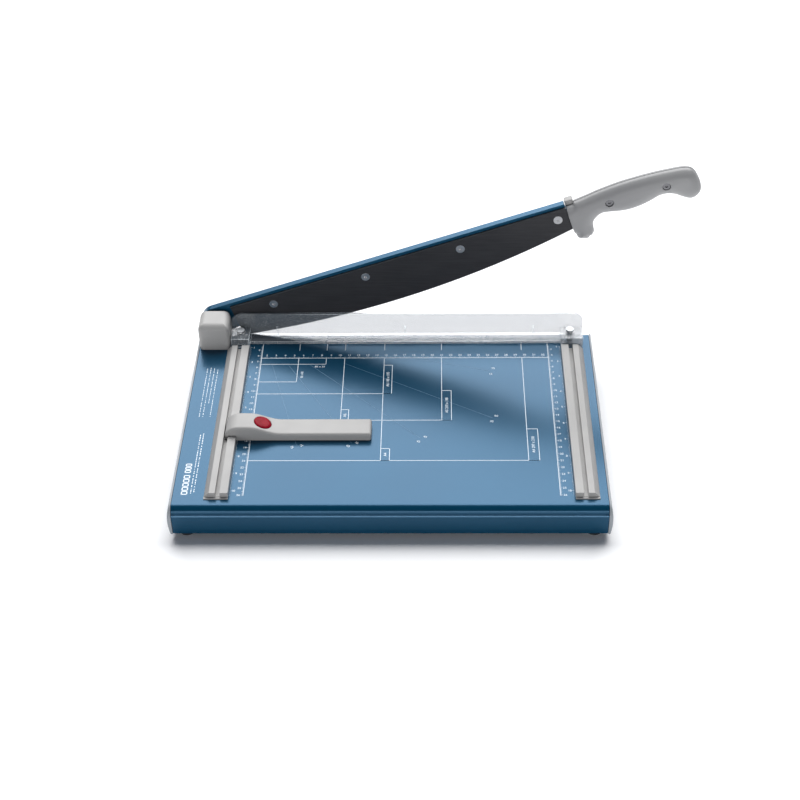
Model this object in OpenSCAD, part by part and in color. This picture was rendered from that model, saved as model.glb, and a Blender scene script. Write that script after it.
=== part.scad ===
// Guillotine paper cutter with a hinged knife arm, a sprung clear guard and a sliding backstop.
// Millimetres. The parts are drawn from a datum where X = 0 is the left stop face, Y = 0 is the
// cutting line and Z = 0 is the table's upper face. place() moves that datum to the row frame,
// whose origin is the centre of the footprint on the surface that the feet stand on.

/* [Table] */
// Distance between the two stop faces, which is the longest cut
cut_len = 340; // [330:1:350]
// Table margin to the left of the left stop face
left_margin = 55; // [54:0.5:60]
// Table margin to the right of the right stop face
right_margin = 32; // [31:0.5:40]
// Depth of the flat table behind the front bend
flat_depth = 272; // [270:1:290]
// Radius of the front bend, outside
front_bend = 10; // [8:0.5:12]
// Height of the folded table body
body_h = 31; // [29:1:33]
// Step of the front face: how far its lower half stands out
front_ledge = 2; // [0.5:0.1:3]
// Height of the rubber feet
foot_h = 6; // [5:0.5:8]
// Sheet thickness
sheet = 2; // [1.5:0.1:2.5]
// Bulge of a cheek outside the sheet
cheek_bulge = 4; // [3:0.5:5]

/* [Stop rails] */
// Width of a rail
rail_w = 24; // [23:0.5:25]
// Height of the rail's bars
rail_h = 6.5; // [6:0.5:7]
// Front end of the rails, measured from the cutting line
rail_front = 265; // [263:1:268]
// Rear end of the rails, measured from the cutting line
rail_rear = 29.5; // [29.5:0.5:31]

/* [Knife arm] */
// Height of the pivot axis above the table
pivot_z = 15; // [14:0.5:16]
// Distance of the pivot axis to the left of the left stop face
pivot_off = 37.5; // [36.5:0.5:38]
// Angle of the arm above the table at rest, in degrees
arm_rest = 19.35; // [0:0.05:45]
// Radius of the curved cutting edge
edge_r = 1040; // [900:10:1200]
// Place along the arm where the knife is deepest
edge_mid = 180; // [170:1:200]
// Depth of the cutting edge below the pivot line there
edge_depth = 37.5; // [36:0.5:39]
// Length of the knife arm from the pivot to the handle
blade_end = 404; // [402:1:406]
// Diameter of the pivot bolt
bolt_d = 10; // [8:0.5:10]

/* [Guard] */
// Height of the clear upright above the table
guard_h = 30; // [26:1:34]
// Depth of the guard's foot, from the cutting line to its front edge
guard_foot = 19.5; // [18:0.5:22]

/* [Backstop] */
// Place of the backstop's middle, measured from the cutting line
stop_y = 167; // [60:1:240]
// Width of the backstop arm along the rail
stop_w = 25.2; // [24:0.1:27]
// Reach of the backstop arm over the table
stop_reach = 138; // [100:1:160]
// Height of the arm above the table
stop_h = 8.6; // [8.4:0.1:9]
// Height of the hump over the rail
hump_h = 17; // [16.5:0.1:18]

/* [Hidden] */
$fn = 64;

// Colours
blue_paint = [0.10, 0.33, 0.52];
arm_blue = [0.30, 0.48, 0.64];
pale_plastic = [0.84, 0.84, 0.83];
grey_plastic = [0.60, 0.60, 0.61];
steel = [0.72, 0.73, 0.75];
knife_black = [0.16, 0.16, 0.18];
clear_plastic = [0.86, 0.90, 0.94, 0.45];
button_red = [0.78, 0.10, 0.16];
rubber_black = [0.10, 0.10, 0.11];

// Frame
x_left = -left_margin;
x_right = cut_len + right_margin;
y_front = flat_depth + front_bend;
deck = body_h + foot_h;
handle_reach = 542.5;
handle_back = 19.3;
mid_x = (x_left - cheek_bulge + handle_reach * cos(arm_rest) - pivot_off + 3) / 2;
mid_y = (handle_back - y_front - 1) / 2;

// Sheet and knives
sheet_back = 4.5;
hem = 20;
counter_drop = 26;
shear_gap = 0.15;
knife_t = 3.05;
bar_y = 3.2;
bar_t = 7.3;
bar_top = 17.5;
bar_low = -10;
knife_top = 14;
knife_start = 22;
screw_pitch = 107.8;
screw_u = 68.9;
screw_w = 2.5;
counter_screw_z = -14;
cheek_curve = 78;

// Rail section, from the stop face outwards
inner_bar = 8;
groove = 4.5;
outer_bar = 6;
groove_floor = 1.5;
rail_screw_x = 15.5;
rail_screw_y = [50, 150, 245];

// Guard
guard_gap = 0.3;
guard_t = 3.5;
guard_back = 1.5;
clip_h = 12;
clip_front = 26;
post_x = inner_bar + groove / 2;
post_y = 13.5;
post_r = 2.5;
post_top = 14;
spring_floor = 5;

// Pivot
pivot_y = 1.2;
plate_t = 4;
cover_l = 54.8;
cover_r = 21.5;
cover_front = 29;
cover_h = 32;
cover_wall = 2;
bracket_half = 12.5;
bracket_screw_x = 7.5;
bracket_screw_y = 21;
bush_r = 7;

// Handle
seam_y = 8;
handle_front = -3.3;
handle_start = 404.5;
handle_screw = [[448.7, 6.5], [508.9, 6]];

// Feet
foot_r = 8;
foot_in = 12.5;
foot_y = [y_front - 11, sheet_back + 11];

// Backstop
ride = 0.4;
key_left = -12;
straddle = [-8.3, 0.3];
button_x = 27;
button_r = 8.7;
button_floor = 7.6;
ceiling = 8.9;
plate_top = 1.9;
spring_x = 29;
shoe_z = [3.6, 5.8];
base_screw_x = [60, 124];

// Moves the drawing datum to the row frame
module place() translate([-mid_x, -mid_y, deck]) children();

// Arm coordinates: X along the arm from the pivot, Z square to it, turned to the rest angle
module on_arm() place() translate([-pivot_off, 0, pivot_z]) rotate([0, -arm_rest, 0]) children();

// Extrudes an outline of (Y, Z) along X
module along_x(from, to) translate([from, 0, 0]) rotate([90, 0, 90]) linear_extrude(to - from) children();

// Extrudes an outline of (X, Z) along Y
module along_y(from, to) translate([0, to, 0]) rotate([90, 0, 0]) linear_extrude(to - from) children();

// A cylinder along Y, from one Y to another
module rod_y(x, z, from, to, r) translate([x, to, z]) rotate([90, 0, 0]) cylinder(r = r, h = to - from);

// A hexagon along Y, af across its flats
module hex_y(x, z, from, to, af)
    translate([x, to, z]) rotate([90, 0, 0]) cylinder(r = af / sqrt(3), h = to - from, $fn = 6);

// Outline of the table body, grown by g, with a ledge along its front face below the bend
module body_outline(g, ledge) {
    bend = front_bend - ledge;
    shelf_z = min(g, 0) - bend;
    translate([-flat_depth, -body_h - g]) square([flat_depth - sheet_back + g, body_h + 2 * g]);
    translate([-flat_depth, -bend]) circle(bend + g);
    translate([-y_front - g, -body_h - g]) square([y_front + g - flat_depth, shelf_z + body_h + g]);
}

// Both feet positions on one side
function foot_x(side) = side < 0 ? x_left + foot_in : x_right - foot_in;

module table_top() color(blue_paint) place() difference() {
    along_x(x_left, x_right) difference() {
        body_outline(0, front_ledge);
        body_outline(-sheet, front_ledge);
        translate([-y_front + hem, -body_h - 1]) square([y_front - sheet_back - 2 * hem, sheet + 2]);
    }
    for (side = [-1, 1], y = foot_y) translate([foot_x(side), -y, -body_h - 1]) cylinder(r = 2.3, h = 4);
    for (x = [-rail_screw_x, cut_len + rail_screw_x], y = rail_screw_y)
        translate([x, -y, -sheet - 1]) cylinder(r = 1.7, h = sheet + 2);
    for (s = [-1, 1])
        translate([-pivot_off + s * bracket_screw_x, -bracket_screw_y, -sheet - 1]) cylinder(r = 2.6, h = 4);
    for (x = [-post_x, cut_len + post_x]) translate([x, -post_y, -sheet - 1]) cylinder(r = post_r, h = 4);
    for (x = counter_screw_x()) rod_y(x, counter_screw_z, -sheet_back - sheet - 1, -sheet_back + 1, 2.7);
}

// Screws along the counter blade
function counter_screw_x() = [for (i = [0:4]) cut_len * (1 + 4 * i) / 18];

// A cheek of the left side: bulged outer wall, tongue inside the sheet and two foot pads
module cheek() {
    difference() {
        intersection() {
            along_x(x_left - cheek_bulge, x_left - 0.3) body_outline(0.8, 0);
            rod_y(x_left - cheek_bulge + cheek_curve, -body_h / 2, -y_front - 5, 5, cheek_curve, $fn = 240);
        }
        translate([x_left - 10, -y_front - 5, -body_h - 5]) cube([20, y_front + 10, 4.6]);
    }
    along_x(x_left - 0.4, x_left + 3) body_outline(-sheet - 0.3, front_ledge);
    for (y = foot_y) difference() {
        translate([x_left, -y - 8, -body_h + sheet]) cube([foot_in + 8, 16, 7]);
        translate([x_left + foot_in, -y, -body_h]) cylinder(r = 2.05, h = 8);
    }
}

module left_cheek() color(pale_plastic) place() cheek();

module right_cheek() color(pale_plastic) place()
    translate([x_left + x_right, 0, 0]) mirror([1, 0, 0]) cheek();

// Hat-section channel under the table
module cross_brace() color(steel) place() along_x(x_left + 6, x_right - 6) difference() {
    union() {
        translate([-166, -18]) square([28, 18 - sheet]);
        translate([-180, -sheet - 1.5]) square([56, 1.5]);
    }
    translate([-164.5, -16.5]) square([25, 18]);
}

module counter_blade() color(steel) place() difference() {
    translate([-5, -sheet_back, -counter_drop]) cube([cut_len + 10, sheet_back, counter_drop]);
    for (x = counter_screw_x()) rod_y(x, counter_screw_z, -sheet_back - 1, 1, 2.5);
}

module counter_blade_screws() color(steel) place() for (x = counter_screw_x()) difference() {
    union() {
        rod_y(x, counter_screw_z, -sheet_back - sheet, -0.6, 2.45);
        rod_y(x, counter_screw_z, -sheet_back - sheet - 2.8, -sheet_back - sheet, 4.6);
    }
    hex_y(x, counter_screw_z, -sheet_back - sheet - 3, -sheet_back - sheet - 1.2, 3);
}

// Section of the left rail, from the stop face outwards
module rail_section() difference() {
    polygon([[0, 0], [0, rail_h], [-inner_bar - groove - outer_bar, rail_h], [-rail_w, 0.8], [-rail_w, 0]]);
    translate([-inner_bar - groove, groove_floor]) square([groove, rail_h]);
}

// The left rail, with its sloped front ends on a thin lip
module rail() difference() {
    union() {
        difference() {
            along_y(-rail_front + 1, -rail_rear) rail_section();
            translate([-inner_bar - 0.1, -rail_front + 1, groove_floor]) rotate([14, 0, 0])
                translate([0, -20, 0]) cube([inner_bar + 1, 20, 12]);
            translate([-rail_w - 1, -rail_front + 1, groove_floor]) rotate([48, 0, 0])
                translate([0, -20, 0]) cube([rail_w - inner_bar + 0.9, 20, 20]);
        }
        translate([-rail_w, -rail_front - 1.5, 0]) cube([rail_w, 3, groove_floor - 0.3]);
    }
    for (y = rail_screw_y) translate([-rail_screw_x, -y, -1]) cylinder(r = 1.35, h = 5.8);
}

module left_rail() color(pale_plastic) place() rail();

module right_rail() color(pale_plastic) place() translate([cut_len, 0, 0]) mirror([1, 0, 0]) rail();

module rail_screws() color(steel) place()
    for (x = [-rail_screw_x, cut_len + rail_screw_x], y = rail_screw_y) translate([x, -y, 0]) {
        translate([0, 0, -sheet]) cylinder(r = 1.3, h = sheet + 4.4);
        translate([0, 0, -sheet - 2]) cylinder(r = 3, h = 2);
    }

// Angle bracket: base on the table and an upright plate that carries the pivot bolt
module pivot_bracket() color(steel) place() difference() {
    union() {
        translate([-pivot_off - bracket_half, -26, 0]) cube([2 * bracket_half, 26 - pivot_y, plate_t]);
        translate([-pivot_off - bracket_half, -pivot_y - plate_t, 0])
            cube([2 * bracket_half, plate_t, pivot_z - 0.5]);
        rod_y(-pivot_off, pivot_z - 0.5, -pivot_y - plate_t, -pivot_y, bracket_half);
    }
    rod_y(-pivot_off, pivot_z, -pivot_y - plate_t - 1, 0, bolt_d / 2 + 0.05);
    for (s = [-1, 1])
        translate([-pivot_off + s * bracket_screw_x, -bracket_screw_y, -1]) cylinder(r = 2.6, h = plate_t + 2);
}

module bracket_screws() color(steel) place() for (s = [-1, 1])
    translate([-pivot_off + s * bracket_screw_x, -bracket_screw_y, 0]) difference() {
        union() {
            translate([0, 0, -8]) cylinder(r = 2.5, h = 8 + plate_t);
            translate([0, 0, plate_t]) cylinder(r = 4.4, h = 2.2);
        }
        translate([0, 0, plate_t + 1]) cylinder(r = 1.7, h = 2, $fn = 6);
    }

module bracket_nuts() color(steel) place() for (s = [-1, 1])
    translate([-pivot_off + s * bracket_screw_x, -bracket_screw_y, -sheet - 4]) difference() {
        cylinder(r = 8 / sqrt(3), h = 4, $fn = 6);
        translate([0, 0, -1]) cylinder(r = 2.5, h = 6);
    }

module pivot_bolt() color(steel) place() {
    rod_y(-pivot_off, pivot_z, -20, bar_y + bar_t + 1.6, bolt_d / 2);
    hex_y(-pivot_off, pivot_z, bar_y + bar_t + 1.6, bar_y + bar_t + 7.6, 17);
}

// A flat ring along Y round the pivot axis
module pivot_ring(from, to, r, bore) difference() {
    rod_y(-pivot_off, pivot_z, from, to, r);
    rod_y(-pivot_off, pivot_z, from - 1, to + 1, bore);
}

module spacer_ring() color(steel) place() pivot_ring(-pivot_y, bar_y - 0.1, 12, bolt_d / 2 + 0.05);

module head_washer() color(steel) place()
    pivot_ring(bar_y + bar_t + 0.1, bar_y + bar_t + 1.6, 11, bolt_d / 2 + 0.05);

// Two dished springs set rim to rim behind the lock nut
module disc_springs() color(steel) place()
    translate([-pivot_off, -pivot_y - plate_t, pivot_z]) rotate([90, 0, 0]) rotate_extrude($fn = 96)
        for (flip = [0, 1]) translate([0, flip * 3]) mirror([0, flip])
            polygon([[bolt_d / 2 + 0.1, 0], [10, 0.7], [10, 1.5], [bolt_d / 2 + 0.1, 0.8]]);

module lock_nut() color(steel) place() difference() {
    union() {
        hex_y(-pivot_off, pivot_z, -pivot_y - plate_t - 11.6, -pivot_y - plate_t - 3, 17);
        rod_y(-pivot_off, pivot_z, -pivot_y - plate_t - 13.6, -pivot_y - plate_t - 11.6, 7.6);
    }
    rod_y(-pivot_off, pivot_z, -22, -pivot_y - plate_t, bolt_d / 2);
}

// Cover block: top corners rounded seen from the front, front top edge rounded seen from the side
module cover_block(in, top_r, front_r) intersection() {
    along_y(-cover_front + in, -pivot_y) union() {
        translate([-cover_l + in, 0]) square([cover_l - cover_r - 2 * in, cover_h - in - top_r]);
        translate([-cover_l + in + top_r, 0]) square([cover_l - cover_r - 2 * (in + top_r), cover_h - in]);
        for (x = [-cover_l + in + top_r, -cover_r - in - top_r])
            translate([x, cover_h - in - top_r]) circle(top_r);
    }
    along_x(-cover_l, -cover_r) union() {
        translate([-cover_front + in, 0]) square([cover_front - in, cover_h - in - front_r]);
        translate([-cover_front + in + front_r, 0]) square([cover_front - in - front_r, cover_h - in]);
        translate([-cover_front + in + front_r, cover_h - in - front_r]) circle(front_r);
    }
}

module pivot_cover() color(pale_plastic) place() difference() {
    cover_block(0, 6.5, 6.5);
    translate([0, 0.01, -0.01]) cover_block(cover_wall, 4.5, 4.5);
}

// A rubber foot with a recess for its screw
module foot(side, row) place() translate([foot_x(side), -foot_y[row], -deck]) difference() {
    cylinder(r = foot_r, h = foot_h);
    translate([0, 0, -1]) cylinder(r = 4.2, h = 4);
    cylinder(r = 2.2, h = foot_h + 1);
}

module foot_front_left() color(rubber_black) foot(-1, 0);

module foot_front_right() color(rubber_black) foot(1, 0);

module foot_rear_left() color(rubber_black) foot(-1, 1);

module foot_rear_right() color(rubber_black) foot(1, 1);

module foot_screws() color(steel) place() for (side = [-1, 1], y = foot_y)
    translate([foot_x(side), -y, -deck]) difference() {
        union() {
            translate([0, 0, 3]) cylinder(r = 2, h = foot_h + 4);
            translate([0, 0, 1.2]) cylinder(r = 3.8, h = 1.8);
        }
        translate([0, 0, 1]) cylinder(r = 1.4, h = 1.4, $fn = 6);
    }

// Guide posts of the guard, riveted to the table and capped at the top
module guard_posts() color(steel) place() for (x = [-post_x, cut_len + post_x])
    translate([x, -post_y, 0]) {
        translate([0, 0, -sheet - 1.4]) cylinder(r = 4, h = 1.4);
        translate([0, 0, -sheet]) cylinder(r = post_r, h = sheet + post_top);
        translate([0, 0, post_top]) cylinder(r = 4.3, h = 1.6);
    }

// Spring between a clip's floor and its post's cap
module guard_spring(x) place() translate([x, -post_y, spring_floor]) difference() {
    cylinder(r = 4.1, h = post_top - spring_floor);
    translate([0, 0, -1]) cylinder(r = 3.1, h = post_top);
}

module guard_spring_left() color(steel) guard_spring(-post_x);

module guard_spring_right() color(steel) guard_spring(cut_len + post_x);

// Arm bar: round end at the pivot, straight bar behind the knife, narrow tang in the handle
module arm_bar() color(arm_blue) on_arm() difference() {
    union() {
        rod_y(0, 0, bar_y, bar_y + bar_t, bar_top);
        along_y(bar_y, bar_y + bar_t) polygon([[0, bar_top], [blade_end - 1, bar_top], [blade_end - 1, 11],
            [blade_end + 118, 11], [blade_end + 118, -3], [blade_end - 1, -3], [blade_end - 1, bar_low],
            [48, bar_low], [bar_top * sin(10), -bar_top * cos(10)], [0, 0]]);
    }
    rod_y(0, 0, bar_y - 1, bar_y + bar_t + 1, bush_r);
    for (i = [0:3]) rod_y(screw_u + i * screw_pitch, screw_w, bar_y - 1, bar_y + bar_t + 1, 2.5);
    for (p = handle_screw) rod_y(p[0], p[1], bar_y - 1, bar_y + bar_t + 1, 2.2);
}

module pivot_bush() color([0.80, 0.62, 0.30]) on_arm() difference() {
    rod_y(0, 0, bar_y, bar_y + bar_t, bush_r);
    rod_y(0, 0, bar_y - 1, bar_y + bar_t + 1, bolt_d / 2 + 0.05);
}

// Upper knife: a flat strip whose lower edge is an arc, ground to an edge on its rear side
module upper_blade() color(knife_black) on_arm() difference() {
    intersection() {
        translate([knife_start, shear_gap, -60]) cube([blade_end - knife_start, knife_t, 60 + knife_top]);
        translate([edge_mid, shear_gap, edge_r - edge_depth]) rotate([-90, 0, 0])
            cylinder(r1 = edge_r, r2 = edge_r - 6, h = knife_t, $fn = 360);
    }
    for (i = [0:3]) knife_screw_shape(screw_u + i * screw_pitch, 0.05);
}

// A countersunk screw's outline from the knife's front face through the bar
module knife_screw_shape(u, grow) {
    rod_y(u, screw_w, shear_gap + 0.5, bar_y + bar_t - 0.2, 2.45 + grow);
    translate([u, shear_gap, screw_w]) rotate([-90, 0, 0])
        cylinder(r1 = 4.8 + grow, r2 = 2.45 + grow, h = 2.4);
}

module blade_screws() color(pale_plastic) on_arm() for (i = [0:3]) difference() {
    knife_screw_shape(screw_u + i * screw_pitch, 0);
    hex_y(screw_u + i * screw_pitch, screw_w, -1, shear_gap + 1.4, 3);
}

// Points of an open smooth curve through pts, n steps between neighbours
function spline(pts, n) = let (last = len(pts) - 1) concat([
    for (i = [0:last - 1], k = [0:n - 1]) let (
        t = k / n,
        a = pts[max(i - 1, 0)], b = pts[i], c = pts[i + 1], d = pts[min(i + 2, last)])
    0.5 * (2 * b + (c - a) * t + (2 * a - 5 * b + 4 * c - d) * t * t + (3 * b - a - 3 * c + d) * t * t * t)
], [pts[last]]);

// Unit vector
function unit(v) = v / norm(v);

// A closed clockwise outline moved inwards by d along its normals
function inset(pts, d) = let (n = len(pts)) [for (i = [0:n - 1])
    let (along = unit(pts[(i + 1) % n] - pts[(i + n - 1) % n])) pts[i] + d * [along[1], -along[0]]];

// Outline of the grip: back, butt, finger hollow and the heel that guards the fingers
grip_line = spline([[412.3, 14.6], [424, 16], [436, 17.8], [448, 19.2], [462, 20.3], [476, 20.5], [490, 20.2],
    [504, 19.4], [518, 18], [528, 16.6], [535.5, 14], [540, 9], [542, 1], [542.5, -8], [540.5, -15],
    [535, -19.5], [528, -20], [521.5, -16], [515, -10.5], [508, -7], [500, -6.2], [491, -8.7],
    [482, -10.8], [472, -12], [462, -11.8], [452, -10], [444, -7.9], [437, -7.3], [430.5, -10.5],
    [426, -15.5], [424.3, -22], [423.3, -28], [420, -32], [416, -33], [409.5, -31], [405.5, -28.5],
    [404.5, -22]], 2);
grip_outline = concat([[handle_start, 12.3], [412, 12.4]], grip_line);

// Steps of the grip's rounding: distance from the seam where each starts and how far it is inset
grip_steps = [[0, 0], [5, 1], [8, 2.6], [10, 4.4]];

// Half of the grip, on the side of the seam that dir points to, out to thickness t
module grip_half(dir, t) for (i = [0:len(grip_steps) - 1]) {
    from = grip_steps[i][0];
    to = i + 1 < len(grip_steps) ? grip_steps[i + 1][0] : t;
    along_y(min(seam_y + dir * from, seam_y + dir * to), max(seam_y + dir * from, seam_y + dir * to))
        polygon(inset(grip_outline, grip_steps[i][1]));
}

// Room for the arm bar's tang
module tang_pocket() along_y(bar_y, bar_y + bar_t) translate([blade_end - 2, -3]) square([120, 14]);

module handle_front_shell() color(grey_plastic) on_arm() difference() {
    grip_half(-1, seam_y - handle_front);
    tang_pocket();
    for (p = handle_screw) {
        rod_y(p[0], p[1], handle_front - 1, 0.2, 4.2);
        rod_y(p[0], p[1], 0, seam_y + 1, 2.2);
    }
}

module handle_rear_shell() color(grey_plastic) on_arm() difference() {
    union() {
        grip_half(1, handle_back - seam_y);
        along_y(seam_y, seam_y + 8) translate([blade_end - 0.6, 8]) square([9, 10]);
    }
    tang_pocket();
    for (p = handle_screw) rod_y(p[0], p[1], seam_y - 1, 16.2, 2.15);
}

module handle_screws() color(steel) on_arm() for (p = handle_screw) difference() {
    union() {
        rod_y(p[0], p[1], 0.2, 16, 2.1);
        rod_y(p[0], p[1], -1.8, 0.2, 3.8);
    }
    hex_y(p[0], p[1], -2, -0.6, 3);
}

// Clear L-section shield: upright at the cutting line, thin foot in front of it, three small ribs
module guard_shield() color(clear_plastic) place() {
    along_y(-guard_back - guard_t, -guard_back) intersection() {
        translate([-21, guard_gap]) square([cut_len + 45.5, guard_h - guard_gap]);
        union() {
            translate([-21, 0]) square([cut_len + 45.5, guard_h - 8.3]);
            translate([-7, 0]) square([cut_len + 17.5, guard_h]);
            for (x = [-7, cut_len + 10.5]) translate([x, guard_h - 16]) circle(16, $fn = 128);
        }
    }
    translate([-0.2, -guard_foot, guard_gap])
        cube([cut_len + 0.4, guard_foot - guard_back - guard_t, 3]);
    for (i = [-1:1]) translate([cut_len / 2 + i * 140.5 - 0.75, -guard_back - guard_t - 4, guard_gap + 3])
        cube([1.5, 4, 10]);
}

// A clear end clip: block with a spring well on top and a hollow underneath
module guard_clip(from, to, post) place() difference() {
    translate([from, -clip_front, guard_gap])
        cube([to - from, clip_front - guard_back - guard_t, clip_h - guard_gap]);
    translate([post, -post_y, spring_floor]) cylinder(r = 4.6, h = clip_h);
    translate([post, -post_y, -1]) cylinder(r = post_r + 0.05, h = clip_h);
    translate([from + 2, -clip_front + 2, -1])
        cube([to - from - 4, clip_front - guard_back - guard_t - 4, spring_floor - 0.5]);
}

module guard_clip_left() color(clear_plastic) guard_clip(-20, -0.2, -post_x);

module guard_clip_right() color(clear_plastic) guard_clip(cut_len + 0.2, cut_len + 24, cut_len + post_x);

// Height of the backstop's upper face at x
function hump(x) = x < 4 ? 4 + (hump_h - 4) * sqrt(max(0, 1 - pow((4 - x) / (4 - key_left), 2)))
    : x < 12 ? hump_h
    : x < 46 ? (hump_h + stop_h) / 2 + (hump_h - stop_h) / 2 * cos(180 * (x - 12) / 34)
    : stop_h;

// An upright round prism, centred on the button
module button_prism(r, from, to) translate([button_x, -stop_y, from]) cylinder(r = r, h = to - from);

// A box across the backstop, half_y to either side of its middle
module stop_box(x0, x1, half_y, z0, z1) translate([x0, -stop_y - half_y, z0]) cube([x1 - x0, 2 * half_y, z1 - z0]);

module backstop_arm() color(pale_plastic) place() difference() {
    union() {
        difference() {
            along_y(-stop_y - stop_w / 2, -stop_y + stop_w / 2) polygon(concat(
                [[key_left, ride]],
                [for (i = [0:12]) let (x = 4 - 16 * cos(7.5 * i)) [x, hump(x)]],
                [for (x = [12:2:46]) [x, hump(x)]],
                [[stop_reach, stop_h], [stop_reach, ride]]));
            stop_box(key_left - 1, straddle[0], stop_w, 0, groove_floor + ride);
            stop_box(straddle[0], straddle[1], stop_w, 0, rail_h + ride);
            stop_box(9, 37.2, stop_w / 2 - 2.2, 0, ceiling);
            stop_box(37, stop_reach - 2, stop_w / 2 - 2.2, 0, stop_h - 2);
            stop_box(0, 10, 4.3, shoe_z[0] - 0.3, shoe_z[1] + 0.3);
        }
        for (x = base_screw_x) translate([x, -stop_y, plate_top]) cylinder(r = 3.5, h = stop_h - 2 - plate_top + 0.1);
    }
    button_prism(button_r + 0.3, ceiling - 1, hump_h + 1);
    for (x = base_screw_x) translate([x, -stop_y, 0]) cylinder(r = 1.25, h = 6);
}

module backstop_base() color(pale_plastic) place() difference() {
    stop_box(9.4, stop_reach - 2.4, stop_w / 2 - 2.5, ride, plate_top);
    for (x = base_screw_x) translate([x, -stop_y, 0]) {
        cylinder(r = 1.5, h = 3);
        cylinder(r = 2.8, h = 1.4);
    }
}

module backstop_screws() color(steel) place() for (x = base_screw_x) translate([x, -stop_y, 0]) {
    translate([0, 0, 1.4]) cylinder(r = 1.2, h = 4.4);
    translate([0, 0, 0.5]) cylinder(r = 2.6, h = 0.9);
}

// Shoe that grips the rail; a sloped tooth of the button works in its window
module clamp_shoe() color(rubber_black) place() difference() {
    stop_box(0.1, 23, 4, shoe_z[0], shoe_z[1]);
    along_y(-stop_y - 2.3, -stop_y + 2.3)
        polygon([[13.9, 3], [16.8, 3], [18.8, 7], [13.9, 7]]);
}

module button_spring() color(steel) place() translate([spring_x, -stop_y, plate_top]) difference() {
    cylinder(r = 3.5, h = button_floor - plate_top);
    translate([0, 0, -1]) cylinder(r = 2.7, h = 10);
}

module release_button() color(button_red) place() {
    intersection() {
        button_prism(button_r, button_floor + 0.5, 20);
        translate([button_x, -stop_y, 14.5]) rotate([0, 20, 0]) translate([-20, -10, -30]) cube([40, 20, 30]);
    }
    button_prism(button_r + 0.8, button_floor, button_floor + 1);
    along_y(-stop_y - 2, -stop_y + 2)
        polygon([[15, shoe_z[0]], [17, shoe_z[0]], [19, button_floor], [21, button_floor],
            [21, button_floor + 1], [15, button_floor + 1]]);
}

table_top();
left_cheek();
right_cheek();
cross_brace();
counter_blade();
counter_blade_screws();
left_rail();
right_rail();
rail_screws();
pivot_bracket();
bracket_screws();
bracket_nuts();
pivot_bolt();
spacer_ring();
head_washer();
disc_springs();
lock_nut();
pivot_cover();
foot_front_left();
foot_front_right();
foot_rear_left();
foot_rear_right();
foot_screws();
guard_posts();
guard_spring_left();
guard_spring_right();
arm_bar();
pivot_bush();
upper_blade();
blade_screws();
handle_front_shell();
handle_rear_shell();
handle_screws();
guard_shield();
guard_clip_left();
guard_clip_right();
backstop_arm();
backstop_base();
backstop_screws();
clamp_shoe();
button_spring();
release_button();
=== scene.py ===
"""Studio picture of a guillotine paper cutter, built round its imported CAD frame."""
import math

import bpy
import numpy as np
from mathutils import Euler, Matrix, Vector
from mathutils.geometry import delaunay_2d_cdt


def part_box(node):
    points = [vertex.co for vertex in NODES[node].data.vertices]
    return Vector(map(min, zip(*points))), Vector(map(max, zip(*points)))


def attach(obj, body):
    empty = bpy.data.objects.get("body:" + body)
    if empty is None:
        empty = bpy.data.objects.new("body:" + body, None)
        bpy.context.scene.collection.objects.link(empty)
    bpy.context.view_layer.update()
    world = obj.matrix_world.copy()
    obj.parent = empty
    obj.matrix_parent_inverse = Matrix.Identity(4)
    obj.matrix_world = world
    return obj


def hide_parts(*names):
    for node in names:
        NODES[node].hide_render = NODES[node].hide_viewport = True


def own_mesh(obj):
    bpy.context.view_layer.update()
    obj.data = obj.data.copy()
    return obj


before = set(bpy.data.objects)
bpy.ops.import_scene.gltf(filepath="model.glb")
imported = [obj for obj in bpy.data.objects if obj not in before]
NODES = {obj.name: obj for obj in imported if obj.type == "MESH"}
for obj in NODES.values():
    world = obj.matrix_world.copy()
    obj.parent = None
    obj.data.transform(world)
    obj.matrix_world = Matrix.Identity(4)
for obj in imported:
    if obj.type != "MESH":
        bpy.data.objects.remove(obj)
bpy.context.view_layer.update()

MM = 0.001
SCENE = bpy.context.scene

# Drawing datum: X = 0 at the left stop face, Y = 0 at the cutting line, Z = 0 on the table
DATUM = Vector((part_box("left_rail")[1].x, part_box("counter_blade")[1].y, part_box("table_top")[1].z))


def local_box(node):
    """A CAD node's lowest and highest corner, in millimetres from the datum."""
    low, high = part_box(node)
    return (low - DATUM) / MM, (high - DATUM) / MM


def middle_of(node):
    """Middle of a CAD node's box, in millimetres from the datum."""
    low, high = local_box(node)
    return (low + high) / 2


CUT_LEN = local_box("right_rail")[0].x

# Knife arm, in millimetres: u runs along the arm and w square to it, both from the pivot axis. The middle of
# the row of knife screws lies at SCREW_ROW, which gives the arm's angle at rest.
PIVOT = middle_of("pivot_bush")
SCREW_ROW = (230.6, 2.5)
ROW_MIDDLE = middle_of("blade_screws") - PIVOT
ARM_ANGLE = math.atan2(ROW_MIDDLE.z, ROW_MIDDLE.x) - math.atan2(SCREW_ROW[1], SCREW_ROW[0])

# The knife's cutting edge is an arc of EDGE_RADIUS, lowest at u = EDGE_MID, where w = -EDGE_DEPTH
EDGE_RADIUS = 1040
EDGE_MID = 180
EDGE_DEPTH = 37.5


def on_table(x, y, z):
    """Row-frame point of a drawing point in millimetres."""
    return DATUM + Vector((x, y, z)) * MM


def on_arm(u, y, w):
    """Row-frame point of the arm's own u, y and w, at the rest angle."""
    x = PIVOT.x + u * math.cos(ARM_ANGLE) - w * math.sin(ARM_ANGLE)
    z = PIVOT.z + u * math.sin(ARM_ANGLE) + w * math.cos(ARM_ANGLE)
    return on_table(x, y, z)


# ---------------------------------------------------------------- materials


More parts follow.
